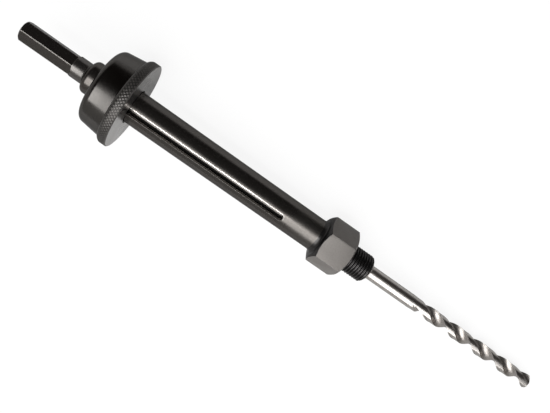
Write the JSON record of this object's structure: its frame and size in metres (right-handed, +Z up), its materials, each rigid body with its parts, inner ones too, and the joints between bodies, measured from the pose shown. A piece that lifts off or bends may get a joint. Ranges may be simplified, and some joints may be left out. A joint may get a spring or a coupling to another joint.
{
  "type": "hole saw arbor",
  "caption": "Hole saw arbor with a flatted drive shank, long slotted tube, hex seat with saw thread, pilot drill and a sliding knurled collar that ejects the plug.",
  "frame": {"origin": "centre of the nose hex's front face, where the hole saw seats", "axes": "+X along the tool's axis towards the drill tip, +Z up out of one flat of the nose hex"},
  "size_m": [0.2629, 0.039, 0.039],
  "materials": {
    "black_oxide": "satin black oxide on turned steel",
    "gloss_black": "glossy black",
    "knurl_black": "black, finely knurled",
    "bright_steel": "bright ground steel",
    "plain_steel": "plain machined steel"
  },
  "bodies": {
    "arbor": {"drive_shank": "black_oxide", "slotted_body": "black_oxide", "pilot_drill": "bright_steel", "pilot_set_screw": "black_oxide", "shank_dowel_left": "plain_steel", "shank_dowel_right": "plain_steel"},
    "ejector_slide": {"collar_cup": "gloss_black", "knurled_ring": "knurl_black", "slide_hub": "plain_steel", "drive_pin_upper": "plain_steel", "drive_pin_lower": "plain_steel", "detent_ball_left": "bright_steel", "detent_ball_right": "bright_steel", "detent_spring_left": "plain_steel", "detent_spring_right": "plain_steel", "ejector_sleeve": "black_oxide"}
  },
  "joints": [
    {"name": "collar_slide", "type": "slide", "parent": "arbor", "child": "ejector_slide", "axis": [1, 0, 0], "range_m": [0, 0.07885]}
  ]
}
